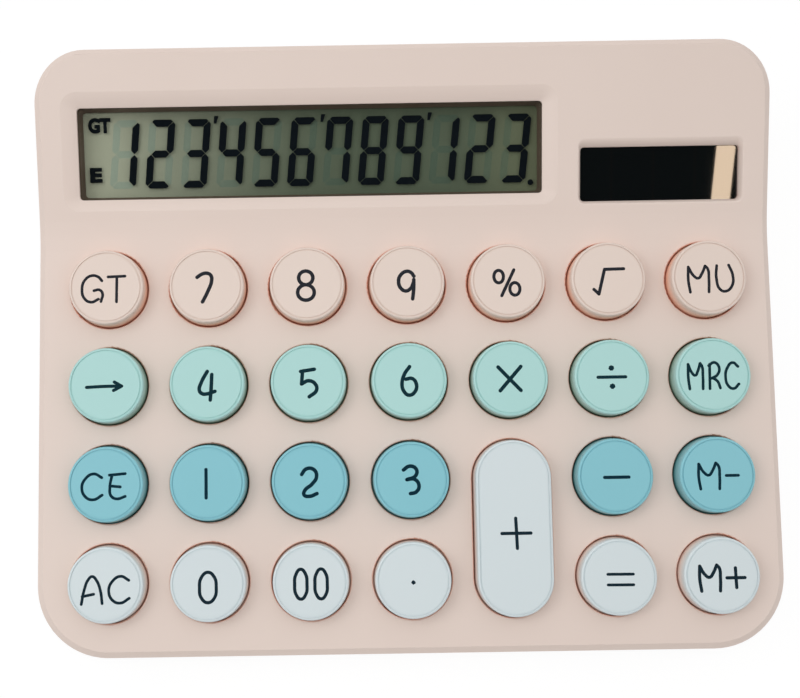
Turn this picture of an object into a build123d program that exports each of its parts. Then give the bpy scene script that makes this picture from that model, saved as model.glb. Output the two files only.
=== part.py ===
from build123d import *
import os
from math import atan, cos, degrees, radians, sin, tan

os.makedirs("parts", exist_ok=True)

# Desk calculator in millimetres: +X to the right, +Y to the back, +Z up.
# The origin is on the desk, under the middle of the case.

# Key grid and key caps
key_pitch_x = 20.3
key_pitch_y = 19.85
keypad_shift = 0.4
key_top_radius = 7.5
key_edge_radius = 0.4
key_ring_inset = 0.55
key_ring_width = 0.25
key_ring_depth = 0.2
key_draft = 2.5
key_rise = 3.65
key_skin = 1.3
key_travel = 2.0
plunger_radius = 3.2
plunger_drop = 1.0
hole_clearance = 0.3
hole_edge_radius = 0.3
flange_overlap = 0.8
flange_thickness = 1.2
flange_gap = 0.2

# Case shells
wall = 2.0
floor = 2.0
keypad_tilt = 4.5
display_rise = 11.5
side_margin = 14.1
front_margin = 14.7
crease_gap = 3.24
blend_radius = 30.0
front_corner_radius = 14.5
back_corner_radius = 10.5
rim_width = 1.2
rim_drop = 0.85
bottom_edge_radius = 1.5
parting_front_height = 7.4
parting_back_height = 14.0
reveal_width = 0.5
reveal_height = 0.6
lip_gap = 0.15
lip_thickness = 0.95
lip_height = 1.5

# Display window, its frame and the liquid crystal panel
lcd_window_height = 18.65
lcd_left_margin = 8.4
lcd_front_margin = 7.45
lcd_back_margin = 11.85
window_gap = 7.8
window_corner = 0.8
dish_side_width = 3.0
dish_front_width = 2.4
dish_back_width = 3.1
dish_depth = 1.15
dish_rim_drop = 0.65
dish_steps = 5
dish_corner = 3.2
window_lip = 0.6
lens_thickness = 1.0
lens_overlap = 2.4
lens_clearance = 0.1
frame_depth = 1.5
frame_inset = 0.6
frame_side = 1.1
panel_overlap = 2.0
panel_clearance = 0.1
panel_thickness = 1.2
reflector_thickness = 0.3
ribbon_margin = 18.0
ribbon_thickness = 0.2
ribbon_contact = 2.4
ribbon_gap = 0.2
ribbon_bend = 8.0

# Solar window and cell
solar_window_width = 32.6
solar_window_height = 11.0
solar_right_margin = 5.9
solar_front_margin = 5.55
solar_dish_width = 0.6
solar_dish_back_width = 1.6
solar_dish_depth = 1.2
solar_rim_drop = 0.4
solar_dish_steps = 4
solar_edge_radius = 0.4
solar_overlap = 1.8
solar_thickness = 1.2

# Silicone mat and circuit board
dome_gap = 0.1
dome_crushed_height = 1.1
dome_base_radius = 5.6
dome_crown_radius = 3.4
dome_wall = 0.8
mat_thickness = 0.8
mat_inset = 1.0
mat_back_gap = 3.5
board_thickness = 1.6
board_clearance = 2.0
board_side_gap = 1.9
board_front_margin = 7.0
board_back_gap = 1.0
board_boss_radius = 2.4
board_screw_radius = 1.0
board_screw_length = 5.0
board_screw_head_radius = 1.9
board_screw_head_height = 1.2
boss_hole_gap = 0.5
chip_radius = 6.0
chip_height = 1.4
capacitor_radius = 2.5
capacitor_length = 9.0
capacitor_gap = 0.1

# Case screws and feet
screw_inset = 4.4
back_screw_side_inset = 15.0
screw_radius = 1.3
screw_grip = 5.0
screw_head_radius = 2.2
screw_head_height = 1.6
screw_head_recess = 0.5
screw_clearance = 0.1
recess_slot_length = 2.2
recess_slot_width = 0.6
recess_slot_depth = 0.8
case_boss_radius = 3.0
case_boss_length = 8.0
tower_height = 5.0
tower_wall = 1.2
boss_clearance = 0.3
foot_radius = 5.0
foot_height = 1.2
foot_recess = 0.6
foot_inset = 14.0
foot_edge_radius = 0.5
foot_clearance = 0.1

# Battery, its compartment and its door
battery_radius = 5.25
battery_length = 44.5
battery_nub_radius = 1.9
battery_nub_length = 1.0
battery_clearance = 0.6
battery_wrap_radius = 0.5
contact_room = 4.0
contact_sheet = 0.4
contact_width = 6.0
contact_play = 0.05
contact_tab_width = 1.6
contact_tab_length = 1.2
compartment_back_inset = 17.0
compartment_ledge = 1.5
compartment_rim = 1.0
compartment_roof = 1.4
door_thickness = 1.8
door_gap = 0.3
door_tab_width = 6.0
door_tab_reach = 1.4
door_tab_thickness = 1.0
door_tab_spacing = 34.0
door_notch_width = 14.0
door_notch_reach = 2.5
door_notch_depth = 1.0
tab_swing_room = 1.3

# Hook-up wires
wire_radius = 0.55
wire_bend = 2.0
wire_rise = 2.0
solar_lead_spacing = 12.0
solar_lead_drop = 3.35

# The key in each place of the grid; a name that stands in two rows is one long key.
key_names = (
    ("grand_total", "seven", "eight", "nine", "percent", "square_root", "mark_up"),
    ("right_arrow", "four", "five", "six", "multiply", "divide", "memory_recall"),
    ("clear_entry", "one", "two", "three", "add", "subtract", "memory_minus"),
    ("all_clear", "zero", "double_zero", "decimal_point", "add", "equals", "memory_plus"),
)
last_column = len(key_names[0]) - 1
last_row = len(key_names) - 1


def grid_point(column, row):
    """Place on the deck; column 0 is at the left and row 0 at the back."""
    return (
        keypad_shift + (column - last_column / 2) * key_pitch_x,
        (last_row / 2 - row) * key_pitch_y,
    )


key_cells = {}
for row, names in enumerate(key_names):
    for column, name in enumerate(names):
        key_cells.setdefault(name, []).append(grid_point(column, row))


def key_place(name):
    """Centre of a key on the deck, and how far apart its two end circles are."""
    first = key_cells[name][0]
    last = key_cells[name][-1]
    return ((first[0], (first[1] + last[1]) / 2), first[1] - last[1])


def key_outline(radius, span, mode=Mode.ADD):
    """Circle, or an obround for a key that covers two rows, in the sketch that is open."""
    if span > 0:
        SlotCenterToCenter(span, 2 * radius, rotation=90, mode=mode)
    else:
        Circle(radius, mode=mode)


def polar(length, tilt):
    """Run and rise of a sloping length."""
    return (length * cos(radians(tilt)), length * sin(radians(tilt)))


# Heights below the deck face, along the deck's normal
key_spread = tan(radians(key_draft))
hole_radius = key_top_radius + key_rise * key_spread + hole_clearance
flange_radius = hole_radius + flange_overlap
flange_top = -wall - flange_gap
flange_bottom = flange_top - flange_thickness
plunger_bottom = flange_bottom - plunger_drop
dome_height = key_travel + dome_crushed_height
mat_top = plunger_bottom - dome_gap - dome_height
board_top = mat_top - mat_thickness
board_bottom = board_top - board_thickness

# Lengths on the deck, from the middle of the key grid
half_grid = last_row / 2 * key_pitch_y
keypad_front = -half_grid - front_margin
keypad_back = half_grid + hole_radius + crease_gap
board_front = -half_grid - board_front_margin
board_back = keypad_back - board_back_gap
mat_back = board_back - mat_back_gap

# Overall width and depth
display_tilt = keypad_tilt + display_rise
display_length = lcd_front_margin + lcd_window_height + lcd_back_margin
body_width = last_column * key_pitch_x + 2 * side_margin
front_reach = polar(-keypad_front, keypad_tilt)[0]
back_reach = polar(keypad_back, keypad_tilt)[0] + polar(display_length, display_tilt)[0]
body_depth = front_reach + back_reach
front_y = -body_depth / 2
back_y = body_depth / 2
base_z = foot_height

# Deck and display faces
deck_y = front_y + front_reach
deck_z = (
    base_z + floor + board_clearance
    - polar(board_front, keypad_tilt)[1] - polar(board_bottom, keypad_tilt)[0]
)
deck_normal = (0, -sin(radians(keypad_tilt)), cos(radians(keypad_tilt)))
display_normal = (0, -sin(radians(display_tilt)), cos(radians(display_tilt)))
deck = Plane(origin=(0, deck_y, deck_z), x_dir=(1, 0, 0), z_dir=deck_normal)
crease = deck.from_local_coords((0, keypad_back, 0))
display = Plane(origin=crease, x_dir=(1, 0, 0), z_dir=display_normal)

# Parting face between the two shells
parting_tilt = degrees(atan((parting_back_height - parting_front_height) / body_depth))
parting_normal = (0, -sin(radians(parting_tilt)), cos(radians(parting_tilt)))
parting = Plane(origin=(0, front_y, parting_front_height), x_dir=(1, 0, 0), z_dir=parting_normal)

# Windows on the display face
lcd_window_width = (
    body_width - lcd_left_margin - window_gap - solar_window_width - solar_right_margin
)
lcd_centre = (
    -body_width / 2 + lcd_left_margin + lcd_window_width / 2,
    lcd_front_margin + lcd_window_height / 2,
)
solar_centre = (
    body_width / 2 - solar_right_margin - solar_window_width / 2,
    solar_front_margin + solar_window_height / 2,
)
lens_top = -dish_depth - window_lip
lens_bottom = lens_top - lens_thickness
panel_top = lens_bottom - frame_depth
panel_bottom = panel_top - panel_thickness
reflector_bottom = panel_bottom - reflector_thickness
panel_width = lcd_window_width + 2 * panel_overlap
panel_height = lcd_window_height + 2 * panel_overlap
frame_width = panel_width + 2 * (panel_clearance + frame_side)
frame_height = panel_height + 2 * (panel_clearance + frame_side)

# Screws that hold the shells and the board
screw_x = last_column / 2 * key_pitch_x - key_pitch_x / 2
screw_points = (
    (-screw_x, front_y + screw_inset),
    (screw_x, front_y + screw_inset),
    (-body_width / 2 + back_screw_side_inset, back_y - screw_inset),
    (body_width / 2 - back_screw_side_inset, back_y - screw_inset),
)
boss_foot = base_z + tower_height
counterbore_top = base_z + screw_head_recess + screw_head_height
board_screw_points = []
for gap_column in (0, 2, last_column - 1):
    for gap_row in (0, last_row - 1):
        gap_x, gap_y = grid_point(gap_column + 0.5, gap_row + 0.5)
        board_screw_points.append((gap_x, gap_y))

# Feet and the battery compartment
foot_points = []
for foot_x in (-body_width / 2 + foot_inset, body_width / 2 - foot_inset):
    for foot_y in (front_y + foot_inset, back_y - foot_inset):
        foot_points.append((foot_x, foot_y))
bay_y = back_y - compartment_back_inset
bay_length = battery_length + 2 * contact_room
bay_width = 2 * (battery_radius + battery_clearance)
bay_wall = compartment_ledge + compartment_rim
opening_length = bay_length + 2 * compartment_ledge
opening_width = bay_width + 2 * compartment_ledge
battery_z = base_z + door_thickness + battery_clearance + battery_radius
bay_roof_z = battery_z + battery_radius + battery_clearance
door_length = opening_length - 2 * door_gap
door_width = opening_width - 2 * door_gap
door_front = bay_y - door_width / 2
hinge_radius = door_thickness / 2
bay_front = bay_y - bay_width / 2 - bay_wall
bow_radius = contact_room - contact_sheet - contact_play
contact_tab_z = battery_z - bow_radius + contact_tab_width / 2


def case_block(inset, base):
    """Wedge under the top faces of the case, set in from the outside and standing at a height."""
    middle_tilt = keypad_tilt + display_rise / 2
    run, rise = polar(inset / cos(radians(display_rise / 2)), middle_tilt)
    crease_y = crease.Y + rise
    crease_z = crease.Z - run
    near_y = front_y + inset
    far_y = back_y - inset
    near_z = crease_z - (crease_y - near_y) * tan(radians(keypad_tilt))
    far_z = crease_z + (far_y - crease_y) * tan(radians(display_tilt))
    with BuildPart() as block:
        with BuildSketch(Plane.YZ) as side:
            with BuildLine():
                Polyline(
                    (near_y, base),
                    (near_y, near_z),
                    (crease_y, crease_z),
                    (far_y, far_z),
                    (far_y, base),
                    close=True,
                )
            make_face()
            fillet(side.vertices().sort_by_distance((crease_y, crease_z))[0], blend_radius + inset)
        extrude(amount=body_width / 2, both=True)
        with BuildSketch(Plane.XY.offset(base)) as plan:
            Rectangle(body_width - 2 * inset, body_depth - 2 * inset)
            fillet(plan.vertices().group_by(Axis.Y)[0], front_corner_radius - inset)
            fillet(plan.vertices().group_by(Axis.Y)[-1], back_corner_radius - inset)
        extrude(amount=far_z - base, mode=Mode.INTERSECT)
    return block.part


def window_sketch(width, height, corner, centre):
    """Rounded rectangle at a place on the display, in the sketch that is open."""
    with Locations(centre):
        RectangleRounded(width, height, corner)


# Blocks that the shells are cut from
outer_block = case_block(0, base_z)
half_wall_block = case_block(wall / 2, base_z)
upper_cavity = case_block(wall, base_z - wall)
reveal_core = case_block(reveal_width, base_z - wall)
lip_block = case_block(wall + lip_gap, base_z + floor / 2)
lower_cavity = case_block(wall + lip_gap + lip_thickness, base_z + floor)

# Whole outside of the case. The chamfer of the upper rim starts at the front edge and follows the
# smooth outline all the way round.
with BuildPart() as shell:
    add(outer_block)
    deck_top = shell.faces().filter_by(deck)[0]
    front_edge = deck_top.edges().sort_by(Axis.Y)[0]
    chamfer(front_edge, rim_width, length2=rim_drop, reference=deck_top)
    fillet(shell.faces().sort_by(Axis.Z)[0].edges(), bottom_edge_radius)

# Bosses for the case screws, cut off inside the wall that they grow from
with BuildPart() as case_bosses:
    with BuildSketch(Plane.XY.offset(boss_foot)):
        with Locations(*screw_points):
            Circle(case_boss_radius)
    extrude(amount=case_boss_length)
    add(half_wall_block, mode=Mode.INTERSECT)

# Upper case
with BuildPart() as upper_case:
    add(shell.part)
    split(bisect_by=parting, keep=Keep.TOP)
    add(upper_cavity, mode=Mode.SUBTRACT)
    add(case_bosses.part)
    with BuildSketch(Plane.XY.offset(boss_foot)):
        with Locations(*screw_points):
            Circle(screw_radius + screw_clearance)
    extrude(amount=screw_grip + 2 * screw_clearance, mode=Mode.SUBTRACT)
    with BuildSketch(deck.offset(board_top)):
        with Locations(*board_screw_points):
            Circle(board_boss_radius)
    extrude(amount=-board_top - wall / 2)
    with BuildSketch(deck.offset(board_top)):
        with Locations(*board_screw_points):
            Circle(board_screw_radius + screw_clearance)
    extrude(amount=board_screw_length - board_thickness + screw_clearance, mode=Mode.SUBTRACT)
    with BuildSketch(deck):
        for name in key_cells:
            centre, span = key_place(name)
            with Locations(centre):
                key_outline(hole_radius, span)
    extrude(amount=-2 * wall, mode=Mode.SUBTRACT)
    deck_face = upper_case.faces().filter_by(deck).sort_by(Axis(deck.origin, deck.z_dir))[-1]
    fillet(deck_face.inner_wires().edges(), hole_edge_radius)
    for step in range(dish_steps + 1):
        inward = step / dish_steps
        outward = 1 - inward
        depth = dish_rim_drop * inward + (dish_depth - dish_rim_drop) * inward**2
        with BuildSketch(display.offset(-depth)):
            window_sketch(
                lcd_window_width + 2 * dish_side_width * outward,
                lcd_window_height + (dish_front_width + dish_back_width) * outward,
                window_corner + (dish_corner - window_corner) * outward,
                (lcd_centre[0], lcd_centre[1] + (dish_back_width - dish_front_width) / 2 * outward),
            )
    loft(ruled=True, mode=Mode.SUBTRACT)
    with BuildSketch(display):
        window_sketch(lcd_window_width, lcd_window_height, window_corner, lcd_centre)
    extrude(amount=-2 * wall, mode=Mode.SUBTRACT)
    with BuildSketch(display.offset(lens_top)):
        window_sketch(
            lcd_window_width + 2 * (lens_overlap + lens_clearance),
            lcd_window_height + 2 * (lens_overlap + lens_clearance),
            window_corner,
            lcd_centre,
        )
    extrude(amount=-wall, mode=Mode.SUBTRACT)
    for step in range(solar_dish_steps + 1):
        inward = step / solar_dish_steps
        outward = 1 - inward
        depth = solar_rim_drop * inward + (solar_dish_depth - solar_rim_drop) * inward**2
        with BuildSketch(display.offset(-depth)):
            window_sketch(
                solar_window_width + 2 * solar_dish_width * outward,
                solar_window_height + (solar_dish_width + solar_dish_back_width) * outward,
                window_corner + solar_dish_width * outward,
                (
                    solar_centre[0],
                    solar_centre[1] + (solar_dish_back_width - solar_dish_width) / 2 * outward,
                ),
            )
    loft(ruled=True, mode=Mode.SUBTRACT)
    display_face = upper_case.faces().filter_by(display).sort_by(Axis(display.origin, display.z_dir))[-1]
    fillet(display_face.inner_wires().sort_by(SortBy.LENGTH)[0].edges(), solar_edge_radius)
    with BuildSketch(display):
        window_sketch(solar_window_width, solar_window_height, window_corner, solar_centre)
    extrude(amount=-2 * wall, mode=Mode.SUBTRACT)
upper_case.part.label = "upper_case"
export_step(upper_case.part, "parts/upper_case.step")

# Groove that runs round the lower case just under the parting face
with BuildPart() as reveal:
    add(outer_block)
    add(reveal_core, mode=Mode.SUBTRACT)
    split(bisect_by=parting, keep=Keep.BOTTOM)
    split(bisect_by=parting.offset(-reveal_height), keep=Keep.TOP)

# Inner lip of the lower case, which locates the upper case
with BuildPart() as lip:
    add(lip_block)
    split(bisect_by=parting.offset(lip_height), keep=Keep.BOTTOM)

# Lower case
with BuildPart() as lower_case:
    add(shell.part)
    split(bisect_by=parting, keep=Keep.BOTTOM)
    add(reveal.part, mode=Mode.SUBTRACT)
    add(lip.part)
    add(lower_cavity, mode=Mode.SUBTRACT)
    with BuildSketch(Plane.XY.offset(base_z + floor / 2)):
        with Locations(*screw_points):
            Circle(screw_head_radius + screw_clearance + tower_wall)
    extrude(amount=tower_height - floor / 2)
    with BuildSketch(Plane.XY.offset(boss_foot)):
        with Locations(*screw_points):
            Circle(case_boss_radius + boss_clearance)
    extrude(amount=case_boss_length, mode=Mode.SUBTRACT)
    with BuildSketch(Plane.XY.offset(base_z)):
        with Locations(*screw_points):
            Circle(screw_head_radius + screw_clearance)
    extrude(amount=screw_head_recess + screw_head_height, mode=Mode.SUBTRACT)
    with BuildSketch(Plane.XY.offset(base_z)):
        with Locations(*screw_points):
            Circle(screw_radius + screw_clearance)
    extrude(amount=tower_height, mode=Mode.SUBTRACT)
    with BuildSketch(Plane.XY.offset(base_z)):
        with Locations(*foot_points):
            Circle(foot_radius + foot_clearance)
    extrude(amount=foot_recess, mode=Mode.SUBTRACT)
    with BuildSketch(Plane.XY.offset(base_z + floor / 2)):
        with Locations((0, bay_y)):
            Rectangle(bay_length + 2 * bay_wall, bay_width + 2 * bay_wall)
    extrude(amount=bay_roof_z + compartment_roof - base_z - floor / 2)
    with BuildSketch(Plane.XY.offset(base_z)):
        with Locations((0, bay_y)):
            Rectangle(bay_length, bay_width)
    extrude(amount=bay_roof_z - base_z, mode=Mode.SUBTRACT)
    with BuildSketch(Plane.XY.offset(base_z)):
        with Locations((0, bay_y)):
            Rectangle(opening_length, opening_width)
    extrude(amount=floor, mode=Mode.SUBTRACT)
    with BuildSketch(Plane.XY.offset(base_z + floor)):
        with Locations((0, bay_y - bay_width / 2 - bay_wall / 2)):
            with GridLocations(door_tab_spacing, 0, 2, 1):
                Rectangle(door_tab_width + 2 * door_gap, bay_wall)
    extrude(amount=door_gap + door_tab_thickness + tab_swing_room, mode=Mode.SUBTRACT)
    with BuildSketch(Plane.XZ.offset(-bay_front - bay_wall)):
        with Locations((0, contact_tab_z)):
            with GridLocations(bay_length - contact_tab_width, 0, 2, 1):
                Rectangle(contact_tab_width, contact_tab_width + 2 * door_gap)
    extrude(amount=bay_wall, mode=Mode.SUBTRACT)
lower_case.part.label = "lower_case"
export_step(lower_case.part, "parts/lower_case.step")

# Key caps: a tapered shell with a fine ring round its top, a retaining flange and a plunger that
# presses its dome
for name in key_cells:
    centre, span = key_place(name)
    seat = Plane(origin=deck.from_local_coords(centre), x_dir=(1, 0, 0), z_dir=deck_normal)
    with BuildPart() as key:
        with BuildSketch(seat.offset(flange_bottom)):
            key_outline(key_top_radius + (key_rise - flange_bottom) * key_spread, span)
        extrude(amount=key_rise - flange_bottom, taper=key_draft)
        fillet(key.faces().sort_by(Axis(seat.origin, seat.z_dir))[-1].edges(), key_edge_radius)
        with BuildSketch(seat.offset(key_rise)):
            key_outline(key_top_radius - key_ring_inset + key_ring_width / 2, span)
            key_outline(key_top_radius - key_ring_inset - key_ring_width / 2, span, Mode.SUBTRACT)
        extrude(amount=-key_ring_depth, mode=Mode.SUBTRACT)
        with BuildSketch(seat.offset(flange_bottom)):
            key_outline(flange_radius, span)
        extrude(amount=flange_thickness)
        with BuildSketch(seat.offset(flange_bottom)):
            key_outline(key_top_radius - key_skin, span)
        extrude(amount=key_rise - flange_bottom - key_skin, mode=Mode.SUBTRACT)
        with BuildSketch(seat.offset(plunger_bottom)):
            Circle(plunger_radius)
        extrude(amount=key_rise - plunger_bottom - key_skin)
    key.part.label = f"key_{name}"
    export_step(key.part, f"parts/key_{name}.step")

# Clear lens behind the display window
with BuildPart() as display_lens:
    with BuildSketch(display.offset(lens_bottom)):
        window_sketch(
            lcd_window_width + 2 * lens_overlap,
            lcd_window_height + 2 * lens_overlap,
            window_corner,
            lcd_centre,
        )
    extrude(amount=lens_thickness)
display_lens.part.label = "display_lens"
export_step(display_lens.part, "parts/display_lens.step")

# Dark frame between lens and panel: a tapered opening in front, a skirt round the panel behind
with BuildPart() as lcd_frame:
    with BuildSketch(display.offset(panel_bottom)):
        window_sketch(frame_width, frame_height, frame_side, lcd_centre)
    extrude(amount=panel_thickness + frame_depth)
    with BuildSketch(display.offset(panel_bottom)):
        with Locations(lcd_centre):
            Rectangle(panel_width + 2 * panel_clearance, panel_height + 2 * panel_clearance)
    extrude(amount=panel_thickness, mode=Mode.SUBTRACT)
    with BuildSketch(display.offset(panel_top)):
        window_sketch(
            lcd_window_width - 2 * frame_inset,
            lcd_window_height - 2 * frame_inset,
            window_corner,
            lcd_centre,
        )
    with BuildSketch(display.offset(lens_bottom)):
        window_sketch(lcd_window_width, lcd_window_height, window_corner, lcd_centre)
    loft(ruled=True, mode=Mode.SUBTRACT)
lcd_frame.part.label = "lcd_frame"
export_step(lcd_frame.part, "parts/lcd_frame.step")

# Liquid crystal panel: two glass plates bonded into one
with BuildPart() as lcd_panel:
    with BuildSketch(display.offset(panel_bottom)):
        with Locations(lcd_centre):
            Rectangle(panel_width, panel_height)
    extrude(amount=panel_thickness)
lcd_panel.part.label = "lcd_panel"
export_step(lcd_panel.part, "parts/lcd_panel.step")

# Reflector sheet bonded behind the panel
with BuildPart() as lcd_reflector:
    with BuildSketch(display.offset(reflector_bottom)):
        with Locations((lcd_centre[0], lcd_centre[1] + (ribbon_contact + ribbon_gap) / 2)):
            Rectangle(panel_width, panel_height - ribbon_contact - ribbon_gap)
    extrude(amount=reflector_thickness)
lcd_reflector.part.label = "lcd_reflector"
export_step(lcd_reflector.part, "parts/lcd_reflector.step")

# Heat-seal ribbon from the panel's lower edge to the board
panel_front = lcd_centre[1] - panel_height / 2
ribbon_start = display.from_local_coords(
    (lcd_centre[0], panel_front + ribbon_contact, panel_bottom - ribbon_thickness / 2)
)
ribbon_turn = display.from_local_coords((lcd_centre[0], panel_front, panel_bottom - ribbon_thickness / 2))
ribbon_landing = deck.from_local_coords((lcd_centre[0], board_back, board_top + ribbon_thickness / 2))
ribbon_end = deck.from_local_coords(
    (lcd_centre[0], board_back - ribbon_contact, board_top + ribbon_thickness / 2)
)
with BuildPart() as lcd_ribbon:
    with BuildLine() as ribbon_path:
        FilletPolyline(ribbon_start, ribbon_turn, ribbon_landing, ribbon_end, radius=ribbon_bend)
    with BuildSketch(Plane(origin=ribbon_start, x_dir=(1, 0, 0), z_dir=ribbon_path.line % 0)):
        Rectangle(lcd_window_width - 2 * ribbon_margin, ribbon_thickness)
    sweep()
lcd_ribbon.part.label = "lcd_ribbon"
export_step(lcd_ribbon.part, "parts/lcd_ribbon.step")

# Solar cell, a coated glass plate bonded behind its window
with BuildPart() as solar_cell:
    with BuildSketch(display.offset(-wall - solar_thickness)):
        with Locations(solar_centre):
            Rectangle(solar_window_width + 2 * solar_overlap, solar_window_height + 2 * solar_overlap)
    extrude(amount=solar_thickness)
solar_cell.part.label = "solar_cell"
export_step(solar_cell.part, "parts/solar_cell.step")

# Circuit board
board_width = body_width - 2 * (wall + lip_gap + lip_thickness + board_side_gap)
with BuildPart() as circuit_board:
    with BuildSketch(deck.offset(board_bottom)):
        with Locations((0, (board_front + board_back) / 2)):
            Rectangle(board_width, board_back - board_front)
        with Locations(*board_screw_points):
            Circle(board_screw_radius + screw_clearance, mode=Mode.SUBTRACT)
    extrude(amount=board_thickness)
circuit_board.part.label = "circuit_board"
export_step(circuit_board.part, "parts/circuit_board.step")

# Silicone mat with one hollow dome under each key
with BuildPart() as keypad_mat:
    with BuildSketch(deck.offset(board_top)):
        with Locations((0, (board_front + mat_back) / 2)):
            Rectangle(board_width - 2 * mat_inset, mat_back - board_front)
        with Locations(*board_screw_points):
            Circle(board_boss_radius + boss_hole_gap, mode=Mode.SUBTRACT)
    extrude(amount=mat_thickness)
    for name in key_cells:
        centre, span = key_place(name)
        with Locations(deck.location * Location((centre[0], centre[1], mat_top))):
            Cone(
                dome_base_radius,
                dome_crown_radius,
                dome_height,
                align=(Align.CENTER, Align.CENTER, Align.MIN),
            )
    for name in key_cells:
        centre, span = key_place(name)
        with Locations(deck.location * Location((centre[0], centre[1], board_top))):
            Cone(
                dome_base_radius - dome_wall,
                dome_crown_radius - dome_wall,
                mat_thickness + dome_height - 2 * dome_wall,
                align=(Align.CENTER, Align.CENTER, Align.MIN),
                mode=Mode.SUBTRACT,
            )
keypad_mat.part.label = "keypad_mat"
export_step(keypad_mat.part, "parts/keypad_mat.step")

# Screws that clamp the board to its bosses
with BuildPart() as board_screws:
    with BuildSketch(deck.offset(board_bottom)):
        with Locations(*board_screw_points):
            Circle(board_screw_radius)
    extrude(amount=board_screw_length)
    with BuildSketch(deck.offset(board_bottom)):
        with Locations(*board_screw_points):
            Circle(board_screw_head_radius)
    extrude(amount=-board_screw_head_height)
    with BuildSketch(deck.offset(board_bottom - board_screw_head_height)):
        with Locations(*board_screw_points):
            Rectangle(recess_slot_length, recess_slot_width)
            Rectangle(recess_slot_width, recess_slot_length)
    extrude(amount=recess_slot_depth, mode=Mode.SUBTRACT)
board_screws.part.label = "board_screws"
export_step(board_screws.part, "parts/board_screws.step")

# Epoxy blob over the chip, under the board in the gap between two key rows
chip_cap_radius = (chip_radius**2 + chip_height**2) / (2 * chip_height)
with BuildPart() as chip_blob:
    with BuildSketch(deck.offset(board_bottom - chip_height)):
        Circle(chip_radius)
    extrude(amount=chip_height)
    with Locations(deck.location * Location((0, 0, board_bottom - chip_height + chip_cap_radius))):
        Sphere(chip_cap_radius, mode=Mode.INTERSECT)
chip_blob.part.label = "chip_blob"
export_step(chip_blob.part, "parts/chip_blob.step")

# Capacitor lying under the back row of keys, against the board
capacitor_axis = deck.from_local_coords(
    (*grid_point(0.5, 0), board_bottom - capacitor_gap - capacitor_radius)
)
with BuildPart() as capacitor:
    with BuildSketch(Plane(origin=capacitor_axis, x_dir=(0, 1, 0), z_dir=(1, 0, 0))):
        Circle(capacitor_radius)
    extrude(amount=capacitor_length)
capacitor.part.label = "capacitor"
export_step(capacitor.part, "parts/capacitor.step")

# Battery cell lying across the back of the case
with BuildPart() as battery:
    with BuildSketch(Plane.YZ.offset(-battery_length / 2)):
        with Locations((bay_y, battery_z)):
            Circle(battery_radius)
    extrude(amount=battery_length - battery_nub_length)
    fillet(battery.edges().filter_by(GeomType.CIRCLE), battery_wrap_radius)
    with BuildSketch(Plane.YZ.offset(battery_length / 2 - battery_nub_length)):
        with Locations((bay_y, battery_z)):
            Circle(battery_nub_radius)
    extrude(amount=battery_nub_length)
battery.part.label = "battery"
export_step(battery.part, "parts/battery.step")

# Bowed sheet contacts at both ends of the battery, each with a soldering tab
for name, side in (("negative", -1), ("positive", 1)):
    plate_x = side * (bay_length / 2 - contact_play - contact_sheet / 2)
    bow_x = side * (bay_length / 2 - contact_play - contact_sheet)
    with BuildPart() as contact:
        with BuildSketch(Plane.XZ.offset(-bay_y)):
            with Locations((bow_x, battery_z)):
                Circle(bow_radius)
                Circle(bow_radius - contact_sheet, mode=Mode.SUBTRACT)
            with Locations((bow_x - side * bow_radius / 2, battery_z)):
                Rectangle(bow_radius, 2 * bow_radius, mode=Mode.INTERSECT)
        extrude(amount=contact_width / 2, both=True)
        with Locations((plate_x, bay_y, battery_z)):
            Box(contact_sheet, bay_width - 2 * contact_play, 2 * bow_radius)
        tab_length = bay_wall + contact_play + contact_tab_length
        with Locations((plate_x, bay_y - bay_width / 2 + contact_play - tab_length / 2, contact_tab_z)):
            Box(contact_sheet, tab_length, contact_tab_width)
    contact.part.label = f"battery_contact_{name}"
    export_step(contact.part, f"parts/battery_contact_{name}.step")

# Battery door: a plate that turns about its rounded front edge, with two tabs that hook over the
# compartment's edge
with BuildPart() as battery_door:
    with BuildSketch(Plane.YZ):
        with Locations((door_front + hinge_radius, base_z + hinge_radius)):
            Circle(hinge_radius)
        with Locations((bay_y + hinge_radius / 2, base_z + hinge_radius)):
            Rectangle(door_width - hinge_radius, door_thickness)
    extrude(amount=door_length / 2, both=True)
    with BuildSketch(Plane.XY.offset(base_z + hinge_radius)):
        with Locations((0, door_front + compartment_ledge / 2)):
            with GridLocations(door_tab_spacing, 0, 2, 1):
                Rectangle(door_tab_width, compartment_ledge)
    extrude(amount=floor + door_gap + door_tab_thickness - hinge_radius)
    with BuildSketch(Plane.XY.offset(base_z + floor + door_gap)):
        with Locations((0, door_front - door_tab_reach / 2)):
            with GridLocations(door_tab_spacing, 0, 2, 1):
                Rectangle(door_tab_width, door_tab_reach)
    extrude(amount=door_tab_thickness)
    with BuildSketch(Plane.XY.offset(base_z)):
        with Locations((0, bay_y + door_width / 2 - door_notch_reach / 2)):
            Rectangle(door_notch_width, door_notch_reach)
    extrude(amount=door_notch_depth, mode=Mode.SUBTRACT)
battery_door.part.label = "battery_door"
export_step(battery_door.part, "parts/battery_door.step")

# Screws that join the shells from below
with BuildPart() as case_screws:
    with BuildSketch(Plane.XY.offset(base_z + screw_head_recess)):
        with Locations(*screw_points):
            Circle(screw_head_radius)
    extrude(amount=screw_head_height)
    with BuildSketch(Plane.XY.offset(counterbore_top)):
        with Locations(*screw_points):
            Circle(screw_radius)
    extrude(amount=boss_foot - counterbore_top + screw_grip)
    with BuildSketch(Plane.XY.offset(base_z + screw_head_recess)):
        with Locations(*screw_points):
            Rectangle(recess_slot_length, recess_slot_width)
            Rectangle(recess_slot_width, recess_slot_length)
    extrude(amount=recess_slot_depth, mode=Mode.SUBTRACT)
case_screws.part.label = "case_screws"
export_step(case_screws.part, "parts/case_screws.step")

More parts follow.
